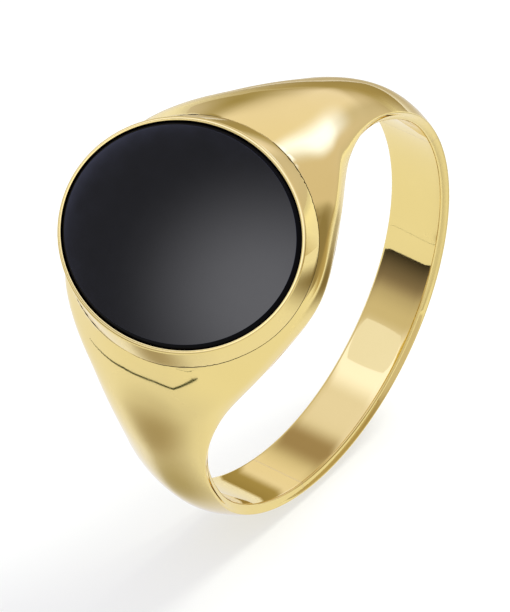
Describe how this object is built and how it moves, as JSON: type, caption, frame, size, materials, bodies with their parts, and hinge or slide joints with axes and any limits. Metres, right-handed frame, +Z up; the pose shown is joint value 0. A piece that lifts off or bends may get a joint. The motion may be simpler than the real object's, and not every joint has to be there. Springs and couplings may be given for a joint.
{
  "type": "signet ring",
  "caption": "Polished gold signet ring with a flat oval black onyx in a rub-over bezel, tapering shoulders and a slim plain back shank.",
  "frame": {"origin": "centre of the finger hole", "axes": "+X along the finger, +Z up with the ring displayed on its back, so that the face looks up and towards -Y at 47 degrees above level"},
  "size_m": [0.013, 0.0226, 0.023],
  "materials": {
    "gold": "high polish yellow gold",
    "solder": "polished gold solder",
    "onyx": "polished black onyx",
    "cement": "dark stone-setting cement"
  },
  "bodies": {
    "root": {"head_and_shoulders": "gold", "back_shank": "gold", "shank_solder_upper": "solder", "shank_solder_lower": "solder", "bezel_collar": "gold", "bezel_solder": "solder", "onyx_stone": "onyx", "stone_cement": "cement"}
  },
  "joints": []
}
